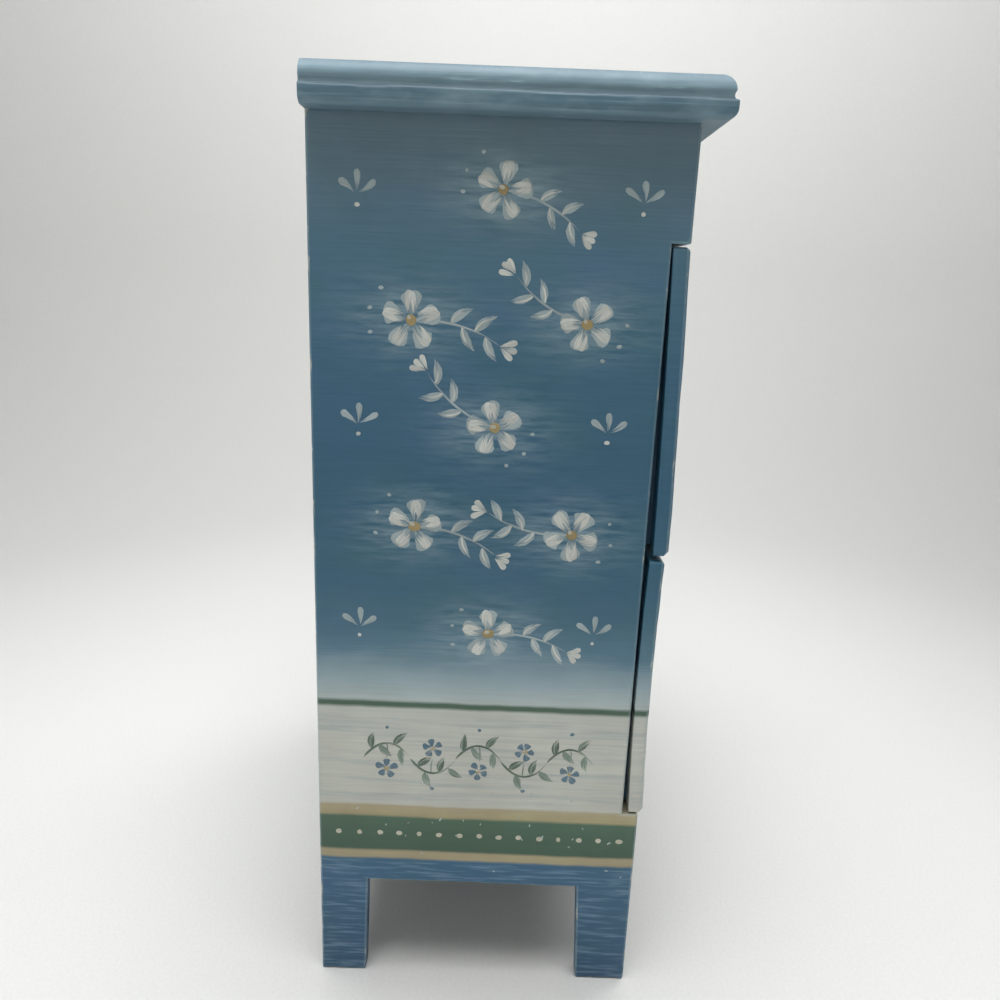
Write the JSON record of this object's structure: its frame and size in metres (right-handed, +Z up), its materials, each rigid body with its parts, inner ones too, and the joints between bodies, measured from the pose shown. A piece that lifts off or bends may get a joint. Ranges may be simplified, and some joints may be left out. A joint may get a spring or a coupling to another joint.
{
  "type": "mini chest of drawers",
  "caption": "Small painted wooden chest of drawers on cut-out legs, with overlay drawers and a moulded top, for papers and keepsakes.",
  "frame": {"origin": "bottom centre of the whole chest's box, on the surface it stands on", "axes": "+Z up, -Y out of the drawer fronts, +X to the right of someone who faces them"},
  "size_m": [0.238, 0.1484, 0.3555],
  "materials": {
    "painted_side": "hand-painted acrylic on wood, satin varnish",
    "painted_top": "hand-painted acrylic on wood, satin varnish",
    "painted_front": "hand-painted acrylic on wood, satin varnish",
    "painted_knob": "hand-painted acrylic on turned wood",
    "pine_board": "bare sanded softwood",
    "plywood": "bare thin plywood",
    "dowel_wood": "bare beech",
    "steel": "zinc-plated steel"
  },
  "bodies": {
    "carcass": {"side_panel_left": "painted_side", "side_panel_right": "painted_side", "top_board": "painted_top", "frieze_board": "painted_front", "front_apron": "painted_front", "upper_shelf": "pine_board", "middle_shelf": "pine_board", "bottom_board": "pine_board", "back_panel": "plywood", "back_panel_brads": "steel", "top_board_dowels": "dowel_wood"},
    "upper_drawer": {"upper_drawer_front": "painted_front", "upper_drawer_left_side": "pine_board", "upper_drawer_right_side": "pine_board", "upper_drawer_back": "pine_board", "upper_drawer_bottom": "plywood", "upper_drawer_brads": "steel", "upper_drawer_knob": "painted_knob", "upper_drawer_knob_screw": "steel"},
    "lower_drawer": {"lower_drawer_front": "painted_front", "lower_drawer_left_side": "pine_board", "lower_drawer_right_side": "pine_board", "lower_drawer_back": "pine_board", "lower_drawer_bottom": "plywood", "lower_drawer_brads": "steel", "lower_drawer_knob": "painted_knob", "lower_drawer_knob_screw": "steel"}
  },
  "joints": [
    {"name": "upper_drawer_slide", "type": "slide", "parent": "carcass", "child": "upper_drawer", "axis": [0, -1, 0], "range_m": [0, 0.095]},
    {"name": "lower_drawer_slide", "type": "slide", "parent": "carcass", "child": "lower_drawer", "axis": [0, -1, 0], "range_m": [0, 0.095]}
  ]
}
